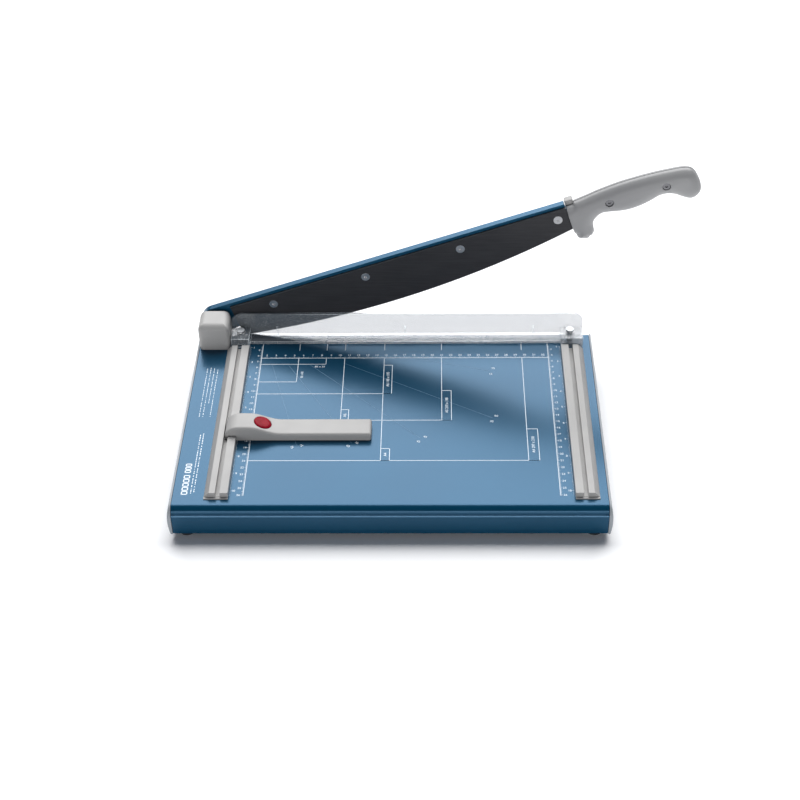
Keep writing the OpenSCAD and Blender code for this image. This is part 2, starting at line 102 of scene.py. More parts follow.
def principled(name, **values):
    """A Principled material; its inputs are set from the keywords, with _ for spaces."""
    mat = bpy.data.materials.new(name)
    mat.use_nodes = True
    shader = mat.node_tree.nodes["Principled BSDF"]
    for key, value in values.items():
        shader.inputs[key.replace("_", " ")].default_value = value
    return mat


def add(mat, kind, inputs=(), **settings):
    """A node of that kind; inputs maps a socket to a value or to another node's output."""
    made = mat.node_tree.nodes.new(kind)
    for key, value in settings.items():
        setattr(made, key, value)
    for key, value in dict(inputs).items():
        if isinstance(value, bpy.types.NodeSocket):
            mat.node_tree.links.new(value, made.inputs[key])
        else:
            made.inputs[key].default_value = value
    return made


def plug(mat, socket, source):
    """Links an output to an input of the material's Principled shader."""
    mat.node_tree.links.new(source, mat.node_tree.nodes["Principled BSDF"].inputs[socket])


def noise(mat, scale, detail=3.0, stretch=(1, 1, 1)):
    """Noise over the object's own place, in cycles per metre."""
    place = add(mat, "ShaderNodeTexCoord").outputs["Object"]
    sized = add(mat, "ShaderNodeMapping", {"Vector": place, "Scale": stretch}).outputs["Vector"]
    made = add(mat, "ShaderNodeTexNoise", {"Vector": sized, "Scale": scale, "Detail": detail})
    return made.outputs["Fac"]


def spread(mat, value, low, high, start=0.3, end=0.7):
    """Maps a value running from start to end onto low to high."""
    made = add(mat, "ShaderNodeMapRange", {"Value": value, "From Min": start, "From Max": end,
                                           "To Min": low, "To Max": high})
    return made.outputs["Result"]


def blend_colour(mat, share, first, second):
    """Mixes two colours, or two colour outputs, by share."""
    made = add(mat, "ShaderNodeMix", {0: share, 6: first, 7: second}, data_type="RGBA")
    return made.outputs[2]


def combine(mat, first, second, operation):
    """One maths operation on two values."""
    return add(mat, "ShaderNodeMath", {0: first, 1: second}, operation=operation).outputs["Value"]


def bump(mat, height, distance, strength):
    """A bump of that real height in metres."""
    inputs = {"Height": height, "Distance": distance, "Strength": strength}
    return add(mat, "ShaderNodeBump", inputs).outputs["Normal"]


def edges(mat, radius, breakup):
    """A mask of the corners within radius metres, broken up by noise."""
    soft = add(mat, "ShaderNodeBevel", {"Radius": radius}, samples=4).outputs["Normal"]
    sharp = add(mat, "ShaderNodeNewGeometry").outputs["Normal"]
    dot = add(mat, "ShaderNodeVectorMath", {0: soft, 1: sharp}, operation="DOT_PRODUCT").outputs["Value"]
    mask = spread(mat, dot, 1.0, 0.0, 0.75, 0.995)
    return combine(mat, mask, spread(mat, breakup, 0.0, 1.0), "MULTIPLY")


def paint(name, deep, light, rough):
    """Smooth satin metallic paint with a slow drift of colour."""
    mat = principled(name, Metallic=0.35, Roughness=rough, IOR=1.45, Specular_IOR_Level=0.42)
    plug(mat, "Base Color", blend_colour(mat, spread(mat, noise(mat, 9), 0, 1), deep, light))
    return mat


# Height of the ledge along the table's front face, in millimetres from the datum
LEDGE_Z = -8.0


def bright_ledge(mat):
    """A painted highlight: a paler line along the ledge of the table's front face, where a light line is
    painted in.
    """
    spot = add(mat, "ShaderNodeSeparateXYZ", {0: add(mat, "ShaderNodeTexCoord").outputs["Object"]})
    ledge = on_table(0, local_box("table_top")[0].y, LEDGE_Z)
    near = spread(mat, spot.outputs["Y"], 1, 0, ledge.y + 0.0021, ledge.y + 0.0025)
    under = spread(mat, spot.outputs["Z"], 0, 1, ledge.z - 0.0011, ledge.z - 0.0006)
    over = spread(mat, spot.outputs["Z"], 1, 0, ledge.z + 0.0002, ledge.z + 0.0006)
    mask = combine(mat, combine(mat, under, over, "MULTIPLY"), near, "MULTIPLY")
    plain = mat.node_tree.nodes["Principled BSDF"].inputs["Base Color"].links[0].from_socket
    # The paler blue here is a painted highlight along the ledge.
    plug(mat, "Base Color", blend_colour(mat, mask, plain, (0.11, 0.25, 0.40, 1)))
    return mat


def plastic(name, deep, light, rough=(0.42, 0.52)):
    """Moulded plastic with a fine spark-eroded grain and a faint drift of colour."""
    grain = 2600
    mat = principled(name, IOR=1.48, Specular_IOR_Level=0.4)
    drift = blend_colour(mat, spread(mat, noise(mat, 14), 0, 1), deep, light)
    speckle = spread(mat, noise(mat, grain / 2, 2), 0, 0.12)
    plug(mat, "Base Color", blend_colour(mat, speckle, drift, [c * 0.86 for c in deep[:3]] + [1]))
    plug(mat, "Roughness", spread(mat, noise(mat, 60, 4), *rough))
    plug(mat, "Normal", bump(mat, noise(mat, grain, 2), 0.00002, 0.5))
    return mat


def metal(name, colour, rough, scale, stretch=(1, 1, 1)):
    """Machined or drawn metal: a fine grain, drawn into streaks if it is stretched, and an uneven sheen."""
    mat = principled(name, Metallic=1.0)
    grain = noise(mat, scale, 4, stretch)
    dark = [c * 0.88 for c in colour[:3]] + [1]
    plug(mat, "Base Color", blend_colour(mat, spread(mat, grain, 0, 1), dark, colour))
    plug(mat, "Roughness", spread(mat, noise(mat, 90, 4), *rough))
    plug(mat, "Normal", bump(mat, grain, 0.000005, 0.3))
    return mat


def knife_coat():
    """Black-coated knife: fine grinding lines, with bare steel on its ground rear bevel and its edge."""
    mat = principled("knife_black", IOR=1.5, Specular_IOR_Level=0.35)
    scratches = noise(mat, 500, 4, (0.06, 1, 1))
    black = blend_colour(mat, spread(mat, scratches, 0, 1), (0.020, 0.020, 0.023, 1),
                         (0.030, 0.030, 0.034, 1))
    middle = on_arm(EDGE_MID, 0, EDGE_RADIUS - EDGE_DEPTH)
    place = add(mat, "ShaderNodeTexCoord").outputs["Object"]
    flat = add(mat, "ShaderNodeVectorMath", {0: place, 1: (1, 0, 1)}, operation="MULTIPLY").outputs["Vector"]
    reach = add(mat, "ShaderNodeVectorMath", {0: flat, 1: (middle.x, 0, middle.z)},
                operation="DISTANCE").outputs["Value"]
    at_edge = spread(mat, reach, 0, 1, (EDGE_RADIUS - 0.5) * MM, (EDGE_RADIUS - 0.3) * MM)
    slope = add(mat, "ShaderNodeSeparateXYZ",
                {0: add(mat, "ShaderNodeTexCoord").outputs["Normal"]}).outputs["Z"]
    ground = spread(mat, slope, 1, 0, -0.5, -0.2)
    bare = combine(mat, at_edge, ground, "MAXIMUM")
    plug(mat, "Base Color", blend_colour(mat, bare, black, (0.55, 0.56, 0.58, 1)))
    plug(mat, "Metallic", spread(mat, bare, 0, 1, 0, 1))
    plug(mat, "Roughness", spread(mat, noise(mat, 80, 4), 0.36, 0.46))
    plug(mat, "Normal", bump(mat, scratches, 0.00001, 0.5))
    return mat


def clear_plastic():
    """Clear acrylic sheet: lightly smoked face on, pale on its cut rims, partly their real frosting and
    partly a painted highlight.
    Its high index makes up for the share of the reflection that the blend with the background takes away;
    its rims carry a painted glow, an emission that stands in for light piped along the sheet."""
    mat = principled("clear_plastic", IOR=2.6, Specular_IOR_Level=0.5, Emission_Strength=0.5)
    scuff = noise(mat, 300, 5, (0.3, 1, 1))
    sheet = blend_colour(mat, spread(mat, scuff, 0, 1), (0.28, 0.31, 0.34, 1), (0.34, 0.37, 0.40, 1))
    rim = edges(mat, 0.0016, noise(mat, 10, 1))
    # The rim mask drives both the rims' real frosting and their painted highlight and glow.
    frost_and_rim_glow = spread(mat, rim, 0, 1, 0.05, 0.6)
    plug(mat, "Base Color", blend_colour(mat, frost_and_rim_glow, sheet, (0.86, 0.90, 0.93, 1)))
    facing = add(mat, "ShaderNodeLayerWeight", {"Blend": 0.25}).outputs["Facing"]
    haze = spread(mat, facing, 0.32, 0.66, 0.1, 0.95)
    plug(mat, "Alpha", combine(mat, haze, spread(mat, frost_and_rim_glow, 0, 0.6, 0, 1), "ADD"))
    plug(mat, "Roughness", spread(mat, noise(mat, 40, 3), 0.10, 0.18))
    # Emission on the rims is a painted glow.
    plug(mat, "Emission Color", blend_colour(mat, frost_and_rim_glow, (0, 0, 0, 1), (0.80, 0.90, 0.98, 1)))
    return mat


def button_plastic():
    """Deep red moulding, smooth and slightly translucent, with a faint swirl in its colour."""
    mat = principled("button_red", IOR=1.5, Specular_IOR_Level=0.05,
                     Subsurface_Weight=0.12, Subsurface_Radius=(0.003, 0.0006, 0.0006))
    swirl = noise(mat, 220, 3)
    plug(mat, "Base Color", blend_colour(mat, spread(mat, swirl, 0, 1), (0.21, 0.006, 0.014, 1),
                                         (0.29, 0.010, 0.022, 1)))
    plug(mat, "Roughness", spread(mat, noise(mat, 500, 3), 0.22, 0.32))
    plug(mat, "Normal", bump(mat, noise(mat, 1200, 2), 0.00001, 0.2))
    return mat


def rubber():
    """Matt black rubber with a coarse grain."""
    mat = principled("rubber", IOR=1.5, Specular_IOR_Level=0.2)
    grain = noise(mat, 1500, 4)
    plug(mat, "Base Color", blend_colour(mat, spread(mat, grain, 0, 1), (0.012, 0.012, 0.013, 1),
                                         (0.030, 0.030, 0.032, 1)))
    plug(mat, "Roughness", spread(mat, noise(mat, 200, 3), 0.65, 0.85))
    plug(mat, "Normal", bump(mat, grain, 0.00006, 0.8))
    return mat


def ink(name, colour, thin):
    """Screen-printed ink, slightly uneven in cover."""
    mat = principled(name, Specular_IOR_Level=0.3)
    plug(mat, "Base Color", blend_colour(mat, spread(mat, noise(mat, 700, 4), 0, 1), colour, thin))
    plug(mat, "Roughness", spread(mat, noise(mat, 500, 2), 0.4, 0.5))
    return mat


MATERIALS = {
    # The table's paint carries a painted highlight along its front ledge.
    "blue_paint": bright_ledge(paint("blue_paint", (0.001, 0.048, 0.102, 1),
                                     (0.001, 0.053, 0.111, 1), 0.24)),
    "arm_paint": paint("arm_paint", (0.006, 0.070, 0.140, 1), (0.007, 0.077, 0.152, 1), 0.28),
    "pale_plastic": plastic("pale_plastic", (0.335, 0.33, 0.325, 1), (0.365, 0.36, 0.353, 1)),
    "cheek_plastic": plastic("cheek_plastic", (0.25, 0.275, 0.30, 1), (0.27, 0.295, 0.32, 1)),
    "rail_plastic": plastic("rail_plastic", (0.325, 0.32, 0.315, 1), (0.355, 0.35, 0.343, 1), (0.38, 0.48)),
    # The grip is toned darker than the pale plastic, a painted shade matching its front face.
    "grip_plastic": plastic("grip_plastic", (0.275, 0.275, 0.28, 1), (0.30, 0.30, 0.302, 1), (0.36, 0.44)),
    "knife_black": knife_coat(),
    "knife_steel": metal("knife_steel", (0.60, 0.61, 0.63, 1), (0.24, 0.34), 600, (0.04, 1, 1)),
    "screw_steel": metal("screw_steel", (0.62, 0.62, 0.63, 1), (0.26, 0.36), 1200),
    # The handle's screws are steel darkened to a painted shade, the shade of their deep recesses.
    "painted_shade_steel": metal("painted_shade_steel", (0.20, 0.20, 0.21, 1), (0.30, 0.42), 1200),
    "zinc_steel": metal("zinc_steel", (0.58, 0.60, 0.62, 1), (0.32, 0.46), 300),
    "bronze": metal("bronze", (0.62, 0.42, 0.20, 1), (0.28, 0.40), 900),
    "clear_plastic": clear_plastic(),
    "button_red": button_plastic(),
    "rubber": rubber(),
    "print_white": ink("print_white", (0.86, 0.90, 0.94, 1), (0.74, 0.81, 0.88, 1)),
    "print_faint": ink("print_faint", (0.10, 0.21, 0.32, 1), (0.08, 0.17, 0.28, 1)),
}

# The CAD nodes of each material; the rest are stood for by pieces below
FINISH = {
    "blue_paint": ["table_top"],
    "arm_paint": ["arm_bar"],
    "cheek_plastic": ["left_cheek", "right_cheek"],
    "pale_plastic": ["backstop_base"],
    "rail_plastic": ["left_rail", "right_rail"],
    "knife_black": ["upper_blade"],
    "knife_steel": ["counter_blade"],
    "painted_shade_steel": ["handle_screws"],
    "screw_steel": ["blade_screws", "counter_blade_screws", "rail_screws", "bracket_screws",
                    "bracket_nuts", "foot_screws", "backstop_screws"],
    "zinc_steel": ["cross_brace", "pivot_bracket", "pivot_bolt", "spacer_ring", "head_washer",
                   "disc_springs", "lock_nut", "guard_posts"],
    "bronze": ["pivot_bush"],
    "clear_plastic": ["guard_shield", "guard_clip_left", "guard_clip_right"],
    "rubber": ["foot_front_left", "foot_front_right", "foot_rear_left", "foot_rear_right", "clamp_shoe"],
}

# Width of the softened corners of the CAD nodes, in millimetres
CORNER = {"table_top": 0.5, "left_cheek": 1.2, "right_cheek": 1.2, "left_rail": 0.5, "right_rail": 0.5,
          "arm_bar": 0.6, "upper_blade": 0.12, "guard_shield": 0.5, "guard_clip_left": 0.5,
          "guard_clip_right": 0.5, "foot_front_left": 0.8, "foot_front_right": 0.8, "foot_rear_left": 0.8,
          "foot_rear_right": 0.8, "counter_blade": 0.15}
PLAIN_CORNER = 0.2
CORNER_ANGLE = 30
CORNER_STEPS = 3


def soften(obj, width):
    """Rounds an object's corners. Its flat faces are merged first, as slivers would show as cracks."""
    weld = obj.modifiers.new("weld", "WELD")
    weld.merge_threshold = 0.005 * MM
    merging = obj.modifiers.new("merge flat faces", "DECIMATE")
    merging.decimate_type = "DISSOLVE"
    merging.angle_limit = math.radians(0.5)
    rounding = obj.modifiers.new("corners", "BEVEL")
    rounding.width = width * MM
    rounding.segments = CORNER_STEPS
    rounding.limit_method = "ANGLE"
    rounding.angle_limit = math.radians(CORNER_ANGLE)
    rounding.harden_normals = True
    rounding.use_clamp_overlap = True
    obj.modifiers.new("flat faces", "WEIGHTED_NORMAL")


def finish_nodes():
    """Gives every CAD node its material and softened corners."""
    for slot, names in FINISH.items():
        for name in names:
            obj = NODES[name]
            obj.data.materials.clear()
            obj.data.materials.append(MATERIALS[slot])
            soften(obj, CORNER.get(name, PLAIN_CORNER))


# ---------------------------------------------------------------- mesh helpers


SHARP_ANGLE = 38


def piece(name, points, faces, body, slot, replaced=(), material=None):
    """A new mesh piece from row-frame points; it rides on a body and may stand for CAD nodes."""
    mesh = bpy.data.meshes.new(name)
    mesh.from_pydata([tuple(p) for p in points], [], faces)
    mesh.validate()
    mesh.shade_smooth()
    mesh.set_sharp_from_angle(angle=math.radians(SHARP_ANGLE))
    obj = bpy.data.objects.new(name, mesh)
    SCENE.collection.objects.link(obj)
    obj.data.materials.append(MATERIALS[material or slot])
    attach(obj, body)
    if replaced:
        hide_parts(*replaced)
    return obj


def distances(line, points, closed=True):
    """Shortest distance from each point to a line of points."""
    start = np.array(line, float)
    end = np.roll(start, -1, axis=0)
    if not closed:
        start, end = start[:-1], end[:-1]
    along = end - start
    best = np.full(len(points), 1e9)
    for a, ab in zip(start, along):
        share = np.clip((points - a) @ ab / max(ab @ ab, 1e-12), 0, 1)
        best = np.minimum(best, np.linalg.norm(points - a - share[:, None] * ab, axis=1))
    return best


def inside(loop, points):
    """Which points lie inside a closed loop."""
    loop = np.array(loop, float)
    found = np.zeros(len(points), bool)
    for (x0, y0), (x1, y1) in zip(loop, np.roll(loop, -1, axis=0)):
        crosses = (y0 > points[:, 1]) != (y1 > points[:, 1])
        if y0 != y1:
            found ^= crosses & (points[:, 0] < (x1 - x0) * (points[:, 1] - y0) / (y1 - y0) + x0)
    return found


def offset(loop, distance):
    """Points a distance inwards from a closed anticlockwise loop, where that is clear of its other sides."""
    loop = np.array(loop, float)
    along = np.roll(loop, -1, axis=0) - np.roll(loop, 1, axis=0)
    along /= np.linalg.norm(along, axis=1)[:, None]
    moved = loop + distance * np.stack([-along[:, 1], along[:, 0]], axis=1)
    return moved[inside(loop, moved) & (distances(loop, moved) > 0.96 * distance)]


def slab(outline, top, bottom, place, rings=(), step=2.0, rim=None, creases=(), holes=(), flip=False):
    """A closed solid over a flat outline. top and bottom give its heights from arrays of x, y and the
    distance from the rim, which is the outline unless another line is given. Its points lie on rings inside
    the outline, on a grid of that step and on the creases; flip is for a place that mirrors it."""
    outline = np.array(outline, float)
    rim_line, rim_closed = (outline, True) if rim is None else (np.array(rim, float), False)
    points, lines = [], []
    for line, closed in [(outline, True)] + [(h, True) for h in holes] + [(c, False) for c in creases]:
        first, count = len(points), len(line)
        points += [tuple(p) for p in line]
        lines += [(first + i, first + (i + 1) % count) for i in range(count if closed else count - 1)]
    kept_clear = [np.array(line, float) for line in list(holes) + list(creases)]
    loose = [offset(outline, r) for r in rings]
    low, high = outline.min(0), outline.max(0)
    grid = np.stack(np.meshgrid(np.arange(low[0], high[0], step), np.arange(low[1], high[1], step)), -1)
    grid = grid.reshape(-1, 2)
    grid = grid[inside(outline, grid)]
    loose.append(grid[distances(outline, grid) > (rings[-1] if len(rings) else 0) + 0.5 * step])
    loose = np.concatenate(loose)
    for line in kept_clear:
        loose = loose[distances(line, loose, closed=len(line) > 2) > 0.25 * step]
    points += [tuple(p) for p in loose]
    cut = delaunay_2d_cdt([Vector(p) for p in points], lines, [list(range(len(outline)))], 1, 1e-6)
    flat = np.array([tuple(v) for v in cut[0]])
    faces = [tuple(f) for f in cut[2]]
    for hole in holes:
        middles = np.array([flat[list(f)].mean(0) for f in faces])
        faces = [f for f, gone in zip(faces, inside(hole, middles)) if not gone]
    away = distances(rim_line, flat, rim_closed)
    high_z, low_z = top(flat[:, 0], flat[:, 1], away), bottom(flat[:, 0], flat[:, 1], away)
    count = len(flat)
    solid = [place(x, y, z) for (x, y), z in zip(flat, high_z)]
    solid += [place(x, y, z) for (x, y), z in zip(flat, low_z)]
    skin = list(faces) + [tuple(count + i for i in reversed(f)) for f in faces]
    sides = dict.fromkeys((a, b) for f in faces for a, b in zip(f, f[1:] + f[:1]))
    skin += [(a + count, b + count, b, a) for a, b in sides if (b, a) not in sides]
    if flip:
        skin = [tuple(reversed(f)) for f in skin]
    return solid, skin


def arc_rings(radius, count=6):
    """Ring distances that follow a quarter round of that radius evenly."""
    return [radius * (1 - math.cos(math.pi / 2 * (i + 0.5) / count)) for i in range(count)] + [radius]


def quarter(distance, radius, rise=None):
    """Height lost at a distance from the rim under a quarter round: rise at the rim, none past radius."""
    share = np.clip(distance / radius, 0, 1)
    return (rise or radius) * (1 - np.sqrt(np.clip(1 - (1 - share) ** 2, 0, 1)))


def arc(centre, radius, start, end, count):
    """Points of an arc, angles in degrees."""
    turn = [math.radians(start + (end - start) * i / count) for i in range(count + 1)]
    return [(centre[0] + radius * math.cos(t), centre[1] + radius * math.sin(t)) for t in turn]


def fill_in(points, longest):
    """A closed loop with its long sides cut into steps no longer than that."""
    made = []
    for a, b in zip(points, points[1:] + points[:1]):
        parts = max(1, math.ceil(math.dist(a, b) / longest))
        made += [tuple(a[k] + (b[k] - a[k]) * i / parts for k in (0, 1)) for i in range(parts)]
    return made


def rounded_box(x0, x1, y0, y1, radius, count=6):
    """An anticlockwise rectangle with round corners."""
    loop = []
    for (x, y), start in [((x1 - radius, y0 + radius), -90), ((x1 - radius, y1 - radius), 0),
                          ((x0 + radius, y1 - radius), 90), ((x0 + radius, y0 + radius), 180)]:
        loop += arc((x, y), radius, start, start + 90, count)
    return loop


def spline(points, steps):
    """Points of an open Catmull-Rom curve."""
    pts = [Vector(p) for p in points]
    made = []
    for i in range(len(pts) - 1):
        a, b, c, d = pts[max(i - 1, 0)], pts[i], pts[i + 1], pts[min(i + 2, len(pts) - 1)]
        for k in range(steps):
            t = k / steps
            p = 2 * b + (c - a) * t + (2 * a - 5 * b + 4 * c - d) * t * t + (3 * b - a - 3 * c + d) * t ** 3
            made.append(tuple(p / 2))
    return made + [tuple(pts[-1])]


# ---------------------------------------------------------------- handle

# Each shell stands SEAM_GAP back from the seam at SEAM_Y. GRIP_OUTLINE and then a heel go round the grip in
# u and w, from its knife end.
SEAM_Y = 8.0
SEAM_GAP = 0.2
SHELL_T = 11.3
GRIP_ROUND = 13.0
GRIP_RISE = 10.6
GRIP_START = 404.5
GRIP_TOP = 12.3
GRIP_SCREWS = [(448.7, 6.5), (508.9, 6.0)]
RECESS_R = 4.2
RECESS_SLOPE = 0.6
RECESS_FLOOR = SEAM_Y - 0.25
GRIP_OUTLINE = [(412.3, 14.6), (424, 16), (436, 17.8), (448, 19.2), (462, 20.3), (476, 20.5),
                (490, 20.2), (504, 19.4), (518, 18), (528, 16.6), (535.5, 14), (540, 9), (542, 1),
                (542.5, -8), (540.5, -15), (535, -19.5), (528, -20), (521.5, -16), (515, -10.5),
                (508, -7), (500, -6.2), (491, -8.7), (482, -10.8), (472, -12), (462, -11.8), (452, -10),
                (444, -7.9), (437, -7.3), (430.5, -10.5), (426, -15.5), (424.3, -22)]
GRIP_RINGS = [0.12, 0.35, 0.7] + arc_rings(GRIP_ROUND, 7)[1:]
REAR_HEEL = [(423.3, -28), (420, -32), (416, -33), (409.5, -31), (405.5, -28.5), (404.5, -22)]
FRONT_HEEL = [(422.9, -26.5), (421.2, -29.3), (418.6, -29.9), (416, -32.2), (409.5, -30.6), (405.5, -28.2),
              (404.5, -22)]


def grip_lines(heel):
    """The grip's closed outline, anticlockwise, and its rounded rim, which leaves out the knife end."""
    curve = [(412, 12.4)] + spline(GRIP_OUTLINE + heel, 5)
    rim = [(GRIP_START - 20, GRIP_TOP)] + curve
    loop = fill_in([(GRIP_START, GRIP_TOP)] + curve, 1.6)
    return loop[::-1], rim


def grip_height(away):
    """Height of a shell above the seam: hardly any straight wall, then a full soft round."""
    return SHELL_T - quarter(away, GRIP_ROUND, GRIP_RISE)


def seam_face(u, w, away):
    """The shells' meeting face, with its outer corner rounded so that the seam shows as a groove."""
    return SEAM_GAP + quarter(away, 0.7, 0.45)


def front_shell():
    """Front half of the grip, with a round recess for each screw."""
    outline, rim = grip_lines(FRONT_HEEL)
    circles = []
    for u, w in GRIP_SCREWS:
        for r in (RECESS_R - 0.06, RECESS_R + 0.06, RECESS_R + RECESS_SLOPE):
            circles.append(arc((u, w), r, 0, 360, 40)[:-1])

    def top(u, w, away):
        height = grip_height(away)
        for screw in GRIP_SCREWS:
            reach = np.hypot(u - screw[0], w - screw[1])
            height = height - np.clip((RECESS_R + RECESS_SLOPE - reach) / 0.54, 0, 1) ** 2 * 0.35
            height = np.where(reach < RECESS_R, RECESS_FLOOR, height)
        return height

    solid, skin = slab(outline, top, seam_face,
                       lambda u, w, h: on_arm(u, SEAM_Y - h, w), GRIP_RINGS, 2.2, rim, circles)
    piece("handle_front", solid, skin, "blade_arm", "grip_plastic", ["handle_front_shell"])


def rear_shell():
    """Rear half of the grip, with the square collar that stands on the end of the arm bar."""
    def behind(u, w, h):
        return on_arm(u, SEAM_Y + h, w)

    outline, rim = grip_lines(REAR_HEEL)
    solid, skin = slab(outline, lambda u, w, away: grip_height(away), seam_face, behind,
                       GRIP_RINGS, 2.2, rim, flip=True)
    piece("handle_rear", solid, skin, "blade_arm", "grip_plastic", ["handle_rear_shell"])
    block = rounded_box(403.6, 412.2, 8.2, 17.8, 0.8, 4)
    solid, skin = slab(block, lambda u, w, away: 8 - quarter(away, 0.8),
                       lambda u, w, away: quarter(away, 0.5), behind, arc_rings(0.8, 3), 2.0, flip=True)
    piece("handle_collar", solid, skin, "blade_arm", "grip_plastic", material="pale_plastic")


# ---------------------------------------------------------------- backstop

STOP_LOW, STOP_HIGH = local_box("backstop_arm")
STOP_Y = (STOP_LOW.y + STOP_HIGH.y) / 2
STOP_CORNER = 2.2
STOP_ROUND = 2.8
STOP_H = 8.6

# The hump rises as a quarter ellipse up to HUMP_X and falls from FALL_X, over FALL_L, to the arm's height
HUMP_H = STOP_HIGH.z
HUMP_X, HUMP_REACH, HUMP_FOOT = 4, 16.2, 4
FALL_X, FALL_L = 12, 34

# Heights of the housing's underside: outside the rail up to KEY_X, over the rail up to BAR_X, over the table
KEY_X, BAR_X = -8.3, 0.3
KEY_UNDER, BAR_UNDER, TABLE_UNDER = 1.9, 6.9, 0.4

BUTTON_R = 8.7
FLANGE_R = BUTTON_R + 0.8
BUTTON_X = local_box("release_button")[1].x - FLANGE_R
BUTTON_TOP = 14.7
BUTTON_TILT = math.tan(math.radians(20))
FLANGE_LOW, FLANGE_HIGH = 7.6, 8.6
TOOTH_HALF = 2.0


def hump(x):
    """Height of the backstop's upper face: quarter ellipse over the rail, then an S down to the arm."""
    rise = HUMP_FOOT + (HUMP_H - HUMP_FOOT) * np.sqrt(np.clip(1 - ((HUMP_X - x) / HUMP_REACH) ** 2, 0, 1))
    turn = np.pi * np.clip((x - FALL_X) / FALL_L, 0, 1)
    fall = (HUMP_H + STOP_H) / 2 + (HUMP_H - STOP_H) / 2 * np.cos(turn)
    return np.where(x < HUMP_X, rise, fall)


def round_outline(radius):
    """Anticlockwise circle, centred on the button."""
    return arc((BUTTON_X, STOP_Y), radius, 0, 360, 48)[:-1]


def from_button(x, y):
    """Distance from the button's axis."""
    return np.hypot(x - BUTTON_X, y - STOP_Y)


def backstop():
    """Backstop arm: rounded housing over the rail, button well and flat arm, stepped underneath."""
    outline = fill_in(rounded_box(STOP_LOW.x, STOP_HIGH.x, STOP_LOW.y, STOP_HIGH.y, STOP_CORNER), 2.5)
    rings = arc_rings(STOP_ROUND, 5)
    rim = [0.0] + rings
    across = ([STOP_LOW.y + r for r in rim] + list(np.linspace(STOP_LOW.y + 4, STOP_HIGH.y - 4, 12))
              + [STOP_HIGH.y - r for r in reversed(rim)])
    steps = [[(x, y) for y in across] for x in (KEY_X - 0.03, KEY_X + 0.03, BAR_X - 0.03, BAR_X + 0.03)]

    def top(x, y, away):
        lip = np.clip(1 - np.abs(from_button(x, y) - BUTTON_R - 0.75) / 0.7, 0, 1)
        return hump(x) - quarter(away, STOP_ROUND) + 0.25 * lip * (3 - 2 * lip) * lip

    def bottom(x, y, away):
        return np.select([x < KEY_X, x < BAR_X], [KEY_UNDER, BAR_UNDER], TABLE_UNDER)

    solid, skin = slab(outline, top, bottom, on_table, rings, 1.6,
                       creases=steps, holes=[round_outline(BUTTON_R + 0.3)])
    piece("backstop_housing", solid, skin, "backstop", "pale_plastic", ["backstop_arm"])


def level(height):
    """A slab face at one height."""
    return lambda x, y, away: np.full(len(x), height)


def button():
    """Round button: soft sloping dome, flange and the tooth that draws the shoe back."""
    def top(x, y, away):
        dome = 0.6 * (1 - quarter(away, BUTTON_R, 1))
        return BUTTON_TOP - BUTTON_TILT * (x - BUTTON_X) - quarter(away, 2.6, 1.6) + dome

    solid, skin = slab(round_outline(BUTTON_R), top, level(FLANGE_HIGH - 0.2), on_table,
                       arc_rings(2.6, 5), 1.0)
    flange = slab(round_outline(FLANGE_R), level(FLANGE_HIGH), level(FLANGE_LOW), on_table, step=4)
    side = [(15, 3.6), (17, 3.6), (19, FLANGE_LOW), (21, FLANGE_LOW), (21, FLANGE_HIGH), (15, FLANGE_HIGH)]
    tooth = slab(side, level(TOOTH_HALF), level(-TOOTH_HALF),
                 lambda x, z, h: on_table(x, STOP_Y + h, z), step=3, flip=True)
    for points, faces in (flange, tooth):
        first = len(solid)
        solid += points
        skin += [tuple(first + i for i in f) for f in faces]
    piece("button_cap", solid, skin, "release_button", "button_red", ["release_button"])


# ---------------------------------------------------------------- pivot cover

COVER_LOW, COVER_HIGH = local_box("pivot_cover")
COVER_ROUND = 7.5
COVER_CORNER = 4.0
COVER_WALL = 2.0


def cover():
    """Hollow pivot cover: soft upper edges at the sides and in front, open at the rear."""
    middle = middle_of("pivot_cover")
    box = rounded_box(COVER_LOW.x, COVER_HIGH.x, COVER_LOW.y, COVER_HIGH.y + 20, COVER_CORNER, 8)
    front = sorted((p for p in box if p[1] < middle.y),
                   key=lambda p: math.atan2(p[1] - middle.y, p[0] - middle.x))
    rim = [(COVER_LOW.x, COVER_HIGH.y + 9)] + front + [(COVER_HIGH.x, COVER_HIGH.y + 9)]
    outline = fill_in([(COVER_LOW.x, COVER_HIGH.y)] + front + [(COVER_HIGH.x, COVER_HIGH.y)], 1.5)

    def top(x, y, away):
        return COVER_HIGH.z - quarter(away, COVER_ROUND)

    def bottom(x, y, away):
        inner = COVER_HIGH.z - COVER_WALL - quarter(np.clip(away - COVER_WALL, 0, None), COVER_ROUND)
        return np.where(away > COVER_WALL, inner, 0.02)

    rings = sorted(arc_rings(COVER_ROUND, 8) + [COVER_WALL - 0.05, COVER_WALL + 0.05])
    solid, skin = slab(outline, top, bottom, on_table, rings, 1.6, rim)
    piece("pivot_housing", solid, skin, "base", "pale_plastic", ["pivot_cover"])


# ---------------------------------------------------------------- springs


